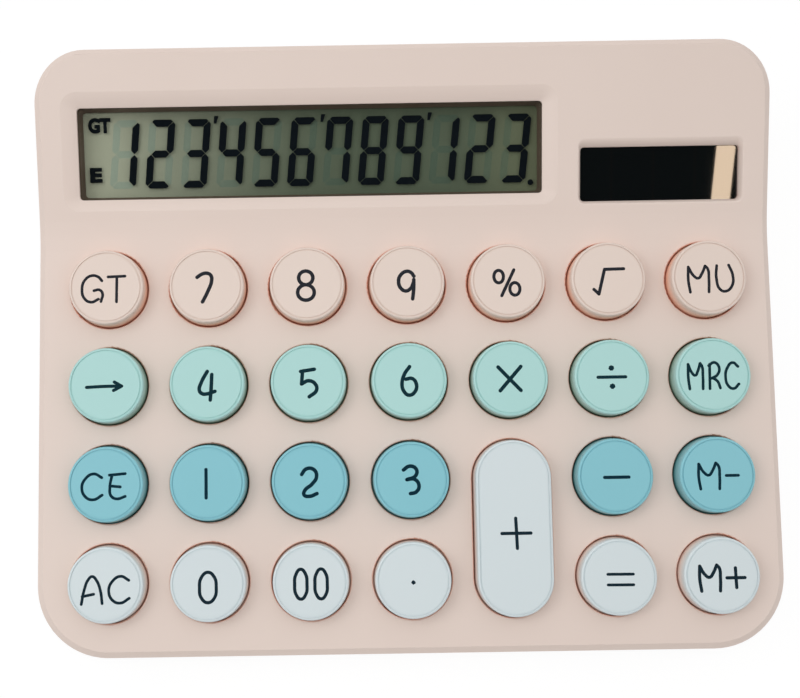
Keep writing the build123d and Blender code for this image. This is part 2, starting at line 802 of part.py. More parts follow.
# Rubber feet set into the underside
with BuildPart() as rubber_feet:
    with BuildSketch(Plane.XY):
        with Locations(*foot_points):
            Circle(foot_radius)
    extrude(amount=foot_height + foot_recess)
    fillet(rubber_feet.edges().group_by(Axis.Z)[0], foot_edge_radius)
rubber_feet.part.label = "rubber_feet"
export_step(rubber_feet.part, "parts/rubber_feet.step")


# Hook-up wires
def export_wire(label, points):
    """Round wire along straight runs joined by arcs."""
    with BuildPart() as wire:
        with BuildLine() as path:
            FilletPolyline(*points, radius=wire_bend)
        with BuildSketch(Plane(origin=points[0], z_dir=path.line % 0)):
            Circle(wire_radius)
        sweep()
    wire.part.label = label
    export_step(wire.part, f"parts/{label}.step")


for colour, side in (("red", 1), ("black", -1)):
    lead_x = solar_centre[0] + side * solar_lead_spacing / 2
    solar_back = display.from_local_coords((lead_x, solar_centre[1], -wall - solar_thickness))
    below_cell = solar_back - display.z_dir * solar_lead_drop
    above_board = deck.from_local_coords((lead_x, board_back, board_top + wire_rise))
    on_board = deck.from_local_coords((lead_x, board_back - ribbon_contact, board_top + wire_radius))
    export_wire(f"solar_lead_{colour}", (solar_back, below_cell, above_board, on_board))

for colour, side in (("red", 1), ("black", -1)):
    lead_x = side * (bay_length / 2 - contact_play - contact_sheet / 2)
    tab_end = Vector(lead_x, bay_front - contact_tab_length, contact_tab_z)
    board_pad = deck.from_local_coords((lead_x, board_back - ribbon_contact, board_bottom))
    pad_drop = (board_pad.Z - contact_tab_z) / cos(radians(keypad_tilt))
    below_pad = board_pad - deck.z_dir * pad_drop
    export_wire(f"battery_lead_{colour}", (tab_end, below_pad, board_pad))

print(f"case {body_width:.1f} wide, {body_depth:.1f} deep; hole radius {hole_radius:.2f}")
print(f"deck origin y {deck_y:.2f} z {deck_z:.2f}; crease y {crease.Y:.2f} z {crease.Z:.2f}")
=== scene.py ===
# %% [markdown]
# # A desk calculator
# The solids of this calculator were made in CAD and packed with their joints. This lesson dresses them:
# a camera where the photo was taken from, soft studio light, moulded plastics, printed key legends and a
# display that shows digits. Everything is in metres, in the frame of the solids, so nothing is moved.

# %% Load the solids
import bmesh
import bpy
from math import radians
from mathutils import Matrix, Vector


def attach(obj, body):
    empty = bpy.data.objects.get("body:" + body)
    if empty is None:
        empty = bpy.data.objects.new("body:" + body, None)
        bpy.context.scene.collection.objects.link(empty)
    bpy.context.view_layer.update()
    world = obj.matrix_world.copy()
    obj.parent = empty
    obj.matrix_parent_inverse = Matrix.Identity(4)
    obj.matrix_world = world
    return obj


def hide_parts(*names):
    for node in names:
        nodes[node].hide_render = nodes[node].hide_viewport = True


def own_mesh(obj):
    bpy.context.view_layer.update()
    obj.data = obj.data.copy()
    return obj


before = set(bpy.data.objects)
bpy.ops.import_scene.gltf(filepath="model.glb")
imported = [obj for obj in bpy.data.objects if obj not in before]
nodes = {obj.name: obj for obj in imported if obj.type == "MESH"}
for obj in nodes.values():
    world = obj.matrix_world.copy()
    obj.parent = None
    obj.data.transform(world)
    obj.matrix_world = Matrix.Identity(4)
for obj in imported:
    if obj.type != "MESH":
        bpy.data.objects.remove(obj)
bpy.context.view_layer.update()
mm = 0.001

# %% [markdown]
# Two sloping faces carry everything that is seen. The keypad deck rises gently from the user, and the
# display face rises from the deck's back edge. A matrix for each face lets the later steps draw flat,
# in plain X and Y, and then lay the result on the slope.

# %% The deck and the display face
deck_tilt = radians(4.5)
display_tilt = radians(16)
deck_middle = Vector((0.25, -16.4954, 18.0545)) * mm
deck_back = 40.975 * mm
deck = Matrix.Translation(deck_middle) @ Matrix.Rotation(deck_tilt, 4, "X")
crease = deck @ Vector((0, deck_back, 0))
display = Matrix.Translation(crease) @ Matrix.Rotation(display_tilt, 4, "X")
print("deck middle", deck_middle, "display starts at", crease)

# %% [markdown]
# The photograph was taken from close by, almost straight down. Its view was solved from the grid of
# round keys. The picture was cropped, so its optical centre is off the middle, which the shift repeats.

# %% The camera
image_width = 800
image_height = 698
focal_pixels = 1150
optical_centre = (352.3, 378.0)
camera_data = bpy.data.cameras.new("photo_camera")
camera_data.sensor_width = 36
camera_data.lens = camera_data.sensor_width * focal_pixels / image_width
camera_data.shift_x = (image_width / 2 - optical_centre[0]) / image_width
camera_data.shift_y = (optical_centre[1] - image_height / 2) / image_width
camera_data.clip_start = 0.01
camera = bpy.data.objects.new("photo_camera", camera_data)
camera.location = (-0.01054, -0.04472, 0.24976)
camera.rotation_euler = (0.16756, 0.00485, -0.01593)
bpy.context.scene.collection.objects.link(camera)
bpy.context.scene.camera = camera
bpy.context.scene.view_settings.view_transform = "Standard"
print("lens", round(camera_data.lens, 2), "mm")

# %% [markdown]
# Colours are written as they look on a screen, in hex, and one function turns them to linear light.
# One more function adds a node with its settings and links; each material below is a few calls of it.

# %% Helpers for materials


def linear(hex_colour):
    """sRGB hex, such as "#DFCFC5", as linear RGBA."""
    channels = [int(hex_colour[i:i + 2], 16) / 255 for i in (1, 3, 5)]
    return [c / 12.92 if c <= 0.04045 else ((c + 0.055) / 1.055) ** 2.4 for c in channels] + [1]


def add(tree, kind, inputs=None, **settings):
    """Add a node. Inputs map a socket to a value, or to the output that is linked to it."""
    node = tree.nodes.new(kind)
    for name, value in settings.items():
        setattr(node, name, value)
    for name, value in (inputs or {}).items():
        if isinstance(value, bpy.types.NodeSocket):
            tree.links.new(value, node.inputs[name])
        else:
            node.inputs[name].default_value = value
    return node


def empty_material(name):
    """A new material with no nodes, and its tree."""
    material = bpy.data.materials.new(name)
    material.use_nodes = True
    material.node_tree.nodes.clear()
    return material, material.node_tree


def dress(material, *names):
    """Give CAD nodes a material."""
    for name in names:
        nodes[name].data.materials.clear()
        nodes[name].data.materials.append(material)


print("white is", linear("#FFFFFF"))

# %% [markdown]
# The studio is a dome of white light over a white floor. The dome is brightest overhead. The part of it
# behind the camera is dark, as the camera and its stand are: that is what the black solar window and the
# display mirror. The dark part ends above the horizon.

# %% The dome
dome_top = 1.01
dome_rim = 0.63
dome_heights = (0.45, 0.85)
shade_level = 0.03
shade_middle = (0, -0.46, 0)
shade_half = (0.33, 0.405)
shade_softness = 0.08
world = bpy.data.worlds.new("studio_dome")
world.use_nodes = True
world.node_tree.nodes.clear()
sky = world.node_tree
direction = add(sky, "ShaderNodeTexCoord").outputs["Generated"]
offset = add(sky, "ShaderNodeVectorMath", {0: direction, 1: shade_middle}, operation="SUBTRACT")
apart = add(sky, "ShaderNodeVectorMath", {0: offset.outputs[0]}, operation="ABSOLUTE")
sides = add(sky, "ShaderNodeSeparateXYZ", {"Vector": apart.outputs[0]})
edges = [add(sky, "ShaderNodeMapRange", {
    "Value": sides.outputs[axis], "From Min": half, "From Max": half + shade_softness,
}).outputs["Result"] for axis, half in zip("XY", shade_half)]
outside = add(sky, "ShaderNodeMath", {0: edges[0], 1: edges[1]}, operation="MAXIMUM")
height = add(sky, "ShaderNodeSeparateXYZ", {"Vector": direction}).outputs["Z"]
full = add(sky, "ShaderNodeMapRange", {
    "Value": height, "From Min": dome_heights[0], "From Max": dome_heights[1],
    "To Min": dome_rim, "To Max": dome_top,
}).outputs["Result"]
level = add(sky, "ShaderNodeMapRange", {
    "Value": outside.outputs[0], "To Min": shade_level, "To Max": full,
}).outputs["Result"]
light = add(sky, "ShaderNodeBackground", {"Color": linear("#FFFFFF"), "Strength": level})
add(sky, "ShaderNodeOutputWorld", {"Surface": light.outputs[0]})
bpy.context.scene.world = world
print("dome from", dome_rim, "at the rim to", dome_top, "overhead")

# %% [markdown]
# The floor looks white to the camera and to mirrors, and still takes a faint shadow.

# %% The floor
floor_size = 6
white_share = 0.9
white_strength = 1.03
floor_material, tree = empty_material("paper_sheet_white")
path = add(tree, "ShaderNodeLightPath")
seen = add(tree, "ShaderNodeMath", {0: path.outputs["Is Camera Ray"], 1: path.outputs["Is Glossy Ray"]},
           operation="MAXIMUM")
seen = add(tree, "ShaderNodeMath", {0: seen.outputs[0], 1: path.outputs["Is Transmission Ray"]},
           operation="MAXIMUM")
share = add(tree, "ShaderNodeMath", {0: seen.outputs[0], 1: white_share}, operation="MULTIPLY")
paper = add(tree, "ShaderNodeBsdfDiffuse", {"Color": linear("#F2F2F2")})
glow = add(tree, "ShaderNodeEmission", {"Color": linear("#FFFFFF"), "Strength": white_strength})
both = add(tree, "ShaderNodeMixShader", {0: share.outputs[0], 1: paper.outputs[0], 2: glow.outputs[0]})
add(tree, "ShaderNodeOutputMaterial", {"Surface": both.outputs[0]})
bpy.ops.mesh.primitive_plane_add(size=floor_size)
floor = bpy.context.object
floor.name = "floor"
floor.data.materials.append(floor_material)
print("floor", floor_size, "m wide")

# %% [markdown]
# A softbox hangs at the left. A small lamp beside the lens makes the shadows of the keys fall outwards,
# and gives no highlight. A card on the right is seen in gloss only: it is the bright end of the
# reflection in the solar window.

# %% The lamps


def soft_lamp(name, place, aim, size, watts, colour):
    """Rectangular lamp that points from its place to its aim."""
    data = bpy.data.lights.new(name, "AREA")
    data.shape = "RECTANGLE"
    data.size, data.size_y = size
    data.energy = watts
    data.color = linear(colour)[:3]
    lamp = bpy.data.objects.new(name, data)
    lamp.location = place
    lamp.rotation_euler = (Vector(aim) - Vector(place)).to_track_quat("-Z", "Y").to_euler()
    lamp.visible_camera = False
    bpy.context.scene.collection.objects.link(lamp)
    return lamp


soft_lamp("left_softbox", (-0.35, 0.05, 0.5), (0, 0, 0), (0.25, 0.35), 0.6, "#FFFFFF")
lens_lamp = soft_lamp(
    "lens_lamp", (-0.011, -0.03, 0.3), (-0.011, -0.02, 0), (0.06, 0.06), 0.155, "#FFFFFF")
lens_lamp.visible_glossy = False
card = soft_lamp(
    "right_card", (0.1568, -0.027, 0.3), (0.1568, -0.027, 0), (0.0085, 0.065), 0.0184, "#FFE3C4")
card.visible_diffuse = False

# %% [markdown]
# The case and the keys are ABS, injection moulded in a spark-eroded tool. That gives a satin skin with
# a very fine grain, and a pastel pigment that is even but never perfectly so. The real grain is about
# 0.05 mm, which is too fine for the picture, so it is drawn at 0.25 mm. Closed-in places of the case,
# and the keys where they dip into their holes, get painted shade: a deeper colour mixed into the
# pigment, standing in for the light that crosses the plastic many times in a narrow gap.

# %% Moulded ABS
grain_size = 0.25 * mm
cloud_size = 25 * mm
gap_size = 2.5 * mm
gap_openness = (0.1, 0.6)
grain_strength = 0.12
grain_depth = 0.03 * mm
satin_spread = 0.05
abs_ior = 1.53
case_roughness = 0.5
deck_normal = deck.to_3x3() @ Vector((0, 0, 1))
deck_level = deck_middle.dot(deck_normal)
# Heights above the deck over which a key turns from painted shade to its own colour.
painted_shade_heights = (-1 * mm, 3 * mm)


def open_to_sky(tree, place):
    """Mask for painted shade: 1 in the open and 0 where walls close in on a point."""
    openness = add(tree, "ShaderNodeAmbientOcclusion", {"Distance": gap_size}, samples=6).outputs["AO"]
    return add(tree, "ShaderNodeMapRange", {
        "Value": openness, "From Min": gap_openness[0], "From Max": gap_openness[1],
    }).outputs[0]


def above_deck(tree, place):
    """Mask for painted shade: 1 at the top of a key and 0 where it dips into its hole."""
    level = add(tree, "ShaderNodeVectorMath", {0: place, 1: deck_normal}, operation="DOT_PRODUCT")
    return add(tree, "ShaderNodeMapRange", {
        "Value": level.outputs["Value"],
        "From Min": deck_level + painted_shade_heights[0], "From Max": deck_level + painted_shade_heights[1],
    }).outputs[0]


def moulded_abs(name, colour, shade, painted_shade_colour, roughness, painted_shade_mask):
    """Satin ABS: a pigment that drifts between two close colours, with painted shade in a deeper colour in
    gaps, and a fine grain.
    """
    material, tree = empty_material(name)
    place = add(tree, "ShaderNodeTexCoord").outputs["Object"]
    cloud = add(tree, "ShaderNodeTexNoise", {"Vector": place, "Scale": 1 / cloud_size, "Detail": 3})
    grain = add(tree, "ShaderNodeTexNoise", {"Vector": place, "Scale": 1 / grain_size, "Detail": 2})
    pigment = add(tree, "ShaderNodeMix", {0: cloud.outputs[0], 6: linear(colour), 7: linear(shade)},
                  data_type="RGBA")
    openness = painted_shade_mask(tree, place)
    # Painted shade: the deeper colour is mixed in where the mask is low.
    pigment = add(tree, "ShaderNodeMix", {0: openness, 6: linear(painted_shade_colour), 7: pigment.outputs[2]},
                  data_type="RGBA")
    satin = add(tree, "ShaderNodeMapRange", {
        "Value": grain.outputs[0], "To Min": roughness - satin_spread, "To Max": roughness + satin_spread,
    })
    skin = add(tree, "ShaderNodeBump", {
        "Height": grain.outputs[0], "Strength": grain_strength, "Distance": grain_depth,
    })
    plastic = add(tree, "ShaderNodeBsdfPrincipled", {
        "Base Color": pigment.outputs[2], "Roughness": satin.outputs[0], "Normal": skin.outputs[0],
        "IOR": abs_ior,
    })
    add(tree, "ShaderNodeOutputMaterial", {"Surface": plastic.outputs[0]})
    return material


# The case gets painted shade in a deeper colour where walls close in on it.
blush_abs = moulded_abs(
    "abs_moulded_satin_blush", "#E5D4CA", "#E1CFC5", "#D4937A", case_roughness, open_to_sky)
dress(blush_abs, "upper_case", "lower_case", "battery_door")
print("case dressed in", blush_abs.name)

# %% [markdown]
# The keys stand in four rows, each row moulded in its own colour. The long add key belongs to the white
# row, although it reaches up into the blue one.

# %% The keys
key_rows = (
    ("grand_total", "seven", "eight", "nine", "percent", "square_root", "mark_up"),
    ("right_arrow", "four", "five", "six", "multiply", "divide", "memory_recall"),
    ("clear_entry", "one", "two", "three", "add", "subtract", "memory_minus"),
    ("all_clear", "zero", "double_zero", "decimal_point", "add", "equals", "memory_plus"),
)
key_roughness = 0.45
# The third colour of each row is painted shade, where a key dips into its hole.
row_finishes = (
    moulded_abs("abs_moulded_satin_cream", "#E4D3C8", "#E1CFC4", "#FDBC9B", key_roughness, above_deck),
    moulded_abs("abs_moulded_satin_mint", "#AFD9D5", "#ABD5D1", "#708B73", key_roughness, above_deck),
    moulded_abs("abs_moulded_satin_sky", "#87C5D0", "#83C1CC", "#4B8789", key_roughness, above_deck),
    moulded_abs("abs_moulded_satin_white", "#D6E0E2", "#D2DCDF", "#F1D4C3", key_roughness, above_deck),
)
key_pitch = (20.3 * mm, 19.85 * mm)
key_rise = 3.65 * mm
key_cells = {}
for row, names in enumerate(key_rows):
    for column, name in enumerate(names):
        cell = Vector(((column - 3) * key_pitch[0], (1.5 - row) * key_pitch[1], 0))
        key_cells.setdefault(name, []).append(cell)
        dress(row_finishes[row], "key_" + name)
key_middles = {name: sum(cells, Vector()) / len(cells) for name, cells in key_cells.items()}
print(len(key_middles), "keys dressed")

# %% [markdown]
# Each key has a legend, printed in navy ink as if written by hand with an even pen. A pen stroke is
# a curve, so every letter is a few smooth curves through points in a box of one by one. The curves
# become flat ribbons with round ends in Geometry Nodes, which do this for any stroke. The second table
# gives each legend its pen and its letters, each with left, bottom, width and height of its box in
# millimetres from the key's place in the grid.

# %% The pen strokes of each letter
letters = {
    "G": [[(.96, .80), (.78, .95), (.47, 1), (.14, .83), (.01, .50), (.12, .15), (.44, 0), (.80, .11)],
          [(.58, .43), (.84, .46), (.99, .33), (.92, .02)]],
    "T": [[(0, .96), (1, .98)], [(.52, .97), (.50, 0)]],
    "7": [[(0, .86), (.30, .96), (.65, 1), (.95, .92), (1, .74), (.75, .38), (.37, 0)]],
    "8": [[(.50, 1), (.07, .77), (.50, .53), (.93, .77), (.50, 1)],
          [(.50, .53), (0, .26), (.50, 0), (1, .26), (.50, .53)]],
    "9": [[(.93, .82), (.75, .96), (.48, 1), (.12, .86), (0, .63), (.12, .40), (.42, .29), (.72, .38),
           (.90, .60)], [(.92, .70), (.90, .35), (.83, 0)]],
    "%": [[(.20, .97), (.02, .74), (.20, .50), (.38, .74), (.20, .97)], [(.78, .98), (.30, .02)],
          [(.80, .50), (.61, .27), (.80, .03), (.99, .27), (.80, .50)]],
    "root": [[(0, .20), (.16, .02)], [(.16, .02), (.37, .96)], [(.37, .96), (1, .97)]],
    "M": [[(.10, 0), (.03, .45), (.05, .95)], [(.05, .95), (.28, .62), (.48, .52), (.65, .68), (.82, .98)],
          [(.82, .98), (.93, .88), (.97, .50), (.95, 0)]],
    "U": [[(.05, .97), (0, .50), (.22, .06), (.55, 0), (.93, .20), (1, .60), (.78, .98)]],
    "arrow": [[(0, .42), (.50, .50), (1, .50)], [(.79, .96), (1, .50)], [(1, .50), (.77, .04)]],
    "4": [[(.51, 1), (.13, .60), (.02, .34), (.17, .23), (.56, .22), (.98, .30)],
          [(.79, .89), (.76, .50), (.69, 0)]],
    "5": [[(.03, .91), (.85, .98)], [(.14, .90), (.08, .47)],
          [(.08, .47), (.50, .58), (.90, .46), (.97, .25), (.53, .02)]],
    "6": [[(.55, 1), (.20, .74), (.03, .42), (.14, .14), (.50, 0), (.89, .14), (.97, .38), (.70, .58),
           (.28, .56)]],
    "times": [[(0, .98), (.98, .02)], [(1, .99), (.07, .02)]],
    "divide": [[(0, .50), (1, .50)], [(.49, .94), (.44, .89), (.49, .84), (.54, .89), (.49, .94)],
               [(.51, .15), (.46, .10), (.51, .05), (.56, .10), (.51, .15)]],
    "R": [[(.12, .92), (.06, 0)], [(.03, .87), (.54, .99), (.96, .80), (.78, .52), (.26, .39)],
          [(.35, .41), (.78, .27), (1, .02)]],
    "C": [[(.96, .84), (.58, .99), (.18, .80), (.02, .46), (.22, .10), (.58, .01), (.98, .18)]],
    "E": [[(.02, .93), (.97, .98)], [(.18, .94), (.05, .46), (.12, .13), (.44, .01), (.97, .10)],
          [(.08, .51), (.67, .47)]],
    "1": [[(.50, 1), (.50, 0)]],
    "2": [[(.05, .78), (.33, .97), (.80, .94), (.96, .70), (.67, .43), (.22, .21), (.18, .06), (.54, .01),
           (.97, .10)]],
    "3": [[(.04, .86), (.42, .99), (.82, .88), (.78, .65), (.24, .51)],
          [(.24, .51), (.70, .52), (.97, .30), (.80, .07), (.44, .01)]],
    "A": [[(.04, 0), (.18, .55), (.36, .90), (.52, 1), (.72, .85), (.90, .45), (.97, .02)],
          [(.08, .28), (.59, .36)]],
    "0": [[(.50, 1), (.12, .82), (.02, .50), (.13, .15), (.50, 0), (.88, .16), (.98, .50), (.87, .84),
           (.50, 1)]],
    "dot": [[(.50, .75), (.25, .50), (.50, .25), (.75, .50), (.50, .75)]],
    "plus": [[(0, .50), (1, .50)], [(.49, 1), (.52, 0)]],
    "minus": [[(0, .48), (1, .52)]],
    "equals": [[(0, 1), (1, .98)], [(0, .02), (1, 0)]],
}
fine_pen, pen, broad_pen = 0.58 * mm, 0.66 * mm, 0.75 * mm
legends = {
    "grand_total": (fine_pen, [("G", -5.0, -3.3, 4.8, 6.0), ("T", 0.3, -3.3, 4.0, 5.9)]),
    "seven": (broad_pen, [("7", -2.1, -3.7, 3.7, 6.6)]),
    "eight": (broad_pen, [("8", -2.1, -3.7, 4.1, 6.7)]),
    "nine": (broad_pen, [("9", -2.0, -3.8, 4.1, 6.4)]),
    "percent": (pen, [("%", -3.1, -3.5, 6.0, 6.1)]),
    "square_root": (pen, [("root", -3.2, -3.5, 6.8, 6.0)]),
    "mark_up": (fine_pen, [("M", -4.5, -3.3, 5.0, 6.0), ("U", 1.3, -3.2, 3.9, 6.0)]),
    "right_arrow": (pen, [("arrow", -4.0, -1.5, 7.7, 2.5)]),
    "four": (broad_pen, [("4", -1.8, -3.7, 4.0, 6.5)]),
    "five": (broad_pen, [("5", -1.8, -3.5, 4.1, 6.5)]),
    "six": (broad_pen, [("6", -1.8, -3.4, 3.8, 6.5)]),
    "multiply": (broad_pen, [("times", -2.7, -2.9, 5.3, 5.7)]),
    "divide": (pen, [("divide", -3.0, -2.7, 6.2, 5.3)]),
    "memory_recall": (fine_pen, [("M", -5.3, -3.0, 3.7, 5.8), ("R", -1.1, -3.0, 2.8, 5.9),
                                 ("C", 2.2, -3.1, 3.3, 5.9)]),
    "clear_entry": (fine_pen, [("C", -4.9, -3.3, 4.8, 5.8), ("E", 0.6, -3.2, 3.9, 5.7)]),
    "one": (pen, [("1", -0.4, -3.3, 0.6, 6.3)]),
    "two": (broad_pen, [("2", -1.9, -3.4, 4.0, 6.4)]),
    "three": (broad_pen, [("3", -1.9, -3.2, 4.0, 6.3)]),
    "add": (pen, [("plus", -2.8, -4.3, 6.4, 6.6)]),
    "subtract": (pen, [("minus", -2.4, -0.5, 5.5, 0.6)]),
    "memory_minus": (fine_pen, [("M", -4.1, -3.1, 5.0, 5.8), ("minus", 1.5, -0.5, 3.0, 0.6)]),
    "all_clear": (fine_pen, [("A", -5.0, -3.9, 5.0, 6.0), ("C", 0.5, -3.8, 4.8, 5.9)]),
    "zero": (pen, [("0", -1.9, -4.0, 4.1, 6.6)]),
    "double_zero": (pen, [("0", -3.4, -3.6, 3.2, 6.5), ("0", 0.6, -3.6, 3.2, 6.5)]),
    "decimal_point": (pen, [("dot", -0.5, -1.0, 1.2, 1.2)]),
    "equals": (fine_pen, [("equals", -2.4, -1.8, 5.6, 2.7)]),
    "memory_plus": (pen, [("M", -4.8, -3.3, 5.0, 5.8), ("plus", 0.7, -2.7, 4.2, 4.5)]),
}
print(len(letters), "letters for", len(legends), "legends")

# %% [markdown]
# The ribbon tree resamples a curve, sweeps a flat ellipse along it and puts a flat round end on it. The
# ink stands a few hundredths of a millimetre proud of the key, as pad printing does.

# %% The ribbon tree
stroke_step = 0.25 * mm
ribbon = bpy.data.node_groups.new("printed_stroke", "GeometryNodeTree")
ribbon.interface.new_socket("Strokes", in_out="INPUT", socket_type="NodeSocketGeometry")
ribbon.interface.new_socket("Pen width", in_out="INPUT", socket_type="NodeSocketFloat")
ribbon.interface.new_socket("Ink height", in_out="INPUT", socket_type="NodeSocketFloat")
ribbon.interface.new_socket("Ink", in_out="INPUT", socket_type="NodeSocketMaterial")
ribbon.interface.new_socket("Print", in_out="OUTPUT", socket_type="NodeSocketGeometry")
given = add(ribbon, "NodeGroupInput").outputs
spaced = add(ribbon, "GeometryNodeResampleCurve", {"Curve": given["Strokes"], "Length": stroke_step},
             mode="LENGTH")
level_curve = add(ribbon, "GeometryNodeSetCurveNormal", {"Curve": spaced.outputs[0]}, mode="Z_UP")
radius = add(ribbon, "ShaderNodeMath", {0: given["Pen width"], 1: 0.5}, operation="MULTIPLY")
flatness = add(ribbon, "ShaderNodeMath", {0: given["Ink height"], 1: radius.outputs[0]}, operation="DIVIDE")
squeeze = add(ribbon, "ShaderNodeCombineXYZ", {"X": 1, "Y": flatness.outputs[0], "Z": 1})
squeeze_end = add(ribbon, "ShaderNodeCombineXYZ", {"X": 1, "Y": 1, "Z": flatness.outputs[0]})
circle = add(ribbon, "GeometryNodeCurvePrimitiveCircle", {"Resolution": 8, "Radius": radius.outputs[0]})
ellipse = add(ribbon, "GeometryNodeTransform", {"Geometry": circle.outputs[0], "Scale": squeeze.outputs[0]})
swept = add(ribbon, "GeometryNodeCurveToMesh", {
    "Curve": level_curve.outputs[0], "Profile Curve": ellipse.outputs[0], "Fill Caps": True,
})
ball = add(ribbon, "GeometryNodeMeshUVSphere", {"Segments": 14, "Rings": 6, "Radius": radius.outputs[0]})
round_end = add(ribbon, "GeometryNodeTransform", {
    "Geometry": ball.outputs[0], "Scale": squeeze_end.outputs[0],
})
ends = add(ribbon, "GeometryNodeCurveEndpointSelection")
capped = add(ribbon, "GeometryNodeInstanceOnPoints", {
    "Points": spaced.outputs[0], "Selection": ends.outputs[0], "Instance": round_end.outputs[0],
})
joined = add(ribbon, "GeometryNodeJoinGeometry")
ribbon.links.new(swept.outputs[0], joined.inputs[0])
ribbon.links.new(capped.outputs[0], joined.inputs[0])
real = add(ribbon, "GeometryNodeRealizeInstances", {"Geometry": joined.outputs[0]})
inked = add(ribbon, "GeometryNodeSetMaterial", {"Geometry": real.outputs[0], "Material": given["Ink"]})
smooth = add(ribbon, "GeometryNodeSetShadeSmooth", {"Geometry": inked.outputs[0]})
add(ribbon, "NodeGroupOutput", {"Print": smooth.outputs[0]})
print("ribbon tree has", len(ribbon.nodes), "nodes")

# %% [markdown]
# Four small functions turn what is drawn into pieces. A curve or a word is evaluated to a mesh, shapes
# that are built by hand become a mesh with a material, and a mesh becomes a piece of one of the bodies.

# %% From drawing to piece


def evaluated_mesh(carrier):
    """Mesh of an object with its modifiers. The object is then deleted."""
    bpy.context.scene.collection.objects.link(carrier)
    graph = bpy.context.evaluated_depsgraph_get()
    mesh = bpy.data.meshes.new_from_object(carrier.evaluated_get(graph))
    bpy.data.objects.remove(carrier)
    return mesh


def through_nodes(carrier, tree, values):
    """Mesh that a node tree makes of an object."""
    modifier = carrier.modifiers.new(tree.name, "NODES")
    modifier.node_group = tree
    for socket in tree.interface.items_tree:
        if socket.name in values:
            modifier[socket.identifier] = values[socket.name]
    return evaluated_mesh(carrier)


def finished_mesh(name, shape, material):
    """Mesh of a shape that was built by hand, in one material."""
    mesh = bpy.data.meshes.new(name)
    shape.to_mesh(mesh)
    shape.free()
    mesh.materials.append(material)
    return mesh


def add_piece(name, mesh, body):
    """Put a mesh into the scene as a piece that moves with a body."""
    mesh.name = name
    piece = bpy.data.objects.new(name, mesh)
    bpy.context.scene.collection.objects.link(piece)
    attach(piece, body)
    return piece


print("ready to make pieces")

# %% [markdown]
# The ink is a two-part pad printing ink in a matt navy. It is thin, so a little of the key's colour
# comes through and each row has its own tone of it.

# %% The legends
ink_height = 0.03 * mm
speckle_size = 0.4 * mm
ink_gloss = 0.05


def printed_ink(name, colour, shade):
    """Matt ink with a fine speckle."""
    material, tree = empty_material(name)
    place = add(tree, "ShaderNodeTexCoord").outputs["Object"]
    speckle = add(tree, "ShaderNodeTexNoise", {"Vector": place, "Scale": 1 / speckle_size, "Detail": 3})
    tone = add(tree, "ShaderNodeMix", {0: speckle.outputs[0], 6: linear(colour), 7: linear(shade)},
               data_type="RGBA")
    sheen = add(tree, "ShaderNodeMapRange", {"Value": speckle.outputs[0], "To Min": 0.5, "To Max": 0.6})
    ink = add(tree, "ShaderNodeBsdfPrincipled", {
        "Base Color": tone.outputs[2], "Roughness": sheen.outputs[0], "Specular IOR Level": ink_gloss,
    })
    add(tree, "ShaderNodeOutputMaterial", {"Surface": ink.outputs[0]})
    return material


row_inks = (
    printed_ink("pad_print_ink_navy_on_blush", "#24262C", "#2C2E34"),
    printed_ink("pad_print_ink_navy_on_mint", "#0C2A32", "#12323A"),
    printed_ink("pad_print_ink_navy_on_sky", "#062734", "#0C2F3C"),
    printed_ink("pad_print_ink_navy_on_white", "#12242E", "#1A2C36"),
)
key_inks = {name: ink for names, ink in zip(key_rows, row_inks) for name in names}


def pen_curve(name, strokes):
    """Curve object with a smooth spline for each stroke, closed where the stroke ends as it began."""
    curve = bpy.data.curves.new(name, "CURVE")
    curve.dimensions = "3D"
    for points in strokes:
        closed = points[0] == points[-1] and len(points) > 2
        kept = points[:-1] if closed else points
        spline = curve.splines.new("BEZIER")
        spline.bezier_points.add(len(kept) - 1)
        spline.use_cyclic_u = closed
        for knot, point in zip(spline.bezier_points, kept):
            knot.co = (*point, 0)
            knot.handle_left_type = knot.handle_right_type = "AUTO"
    return bpy.data.objects.new(name, curve)


for name, (pen_width, parts) in legends.items():
    strokes = []
    for letter, left, bottom, width, height in parts:
        for points in letters[letter]:
            inner = (width * mm - pen_width, height * mm - pen_width)
            start = (left * mm + pen_width / 2, bottom * mm + pen_width / 2)
            strokes.append([(start[0] + x * inner[0], start[1] + y * inner[1]) for x, y in points])
    carrier = pen_curve("legend_" + name, strokes)
    mesh = through_nodes(carrier, ribbon, {
        "Pen width": pen_width, "Ink height": ink_height, "Ink": key_inks[name],
    })
    mesh.transform(deck @ Matrix.Translation(key_middles[name] + Vector((0, 0, key_rise))))
    add_piece("legend_" + name, mesh, "key_" + name)
print(len(legends), "legends printed")

# %% [markdown]
# The display is a stack: a clear acrylic cover, a dark frame, two glass plates with liquid crystal
# between them, and an olive reflector sheet behind. Light passes the glass, meets the sheet and comes
# back, so the dark segments throw a shadow on it. Clear layers here are a transparent shader, which lets
# the lamps through, with a mirror coat that grows steeply towards a grazing view. It is the same on both
# faces of a sheet, so the inner face never turns into a full mirror that hides the digits.

# %% The clear layers
ripple_size = 20 * mm
polish_range = (0.02, 0.05)
grazing_power = 5
window_low, window_high = (-66.85, 7.45), (28.45, 26.1)
lens_top, lens_bottom, lens_edge, lens_bevel = -1.75, -2.71, 2.4, 0.08
glass_top, glass_bottom, glass_edge, glass_bevel = -4.25, -5.4, 2.0, 0.1


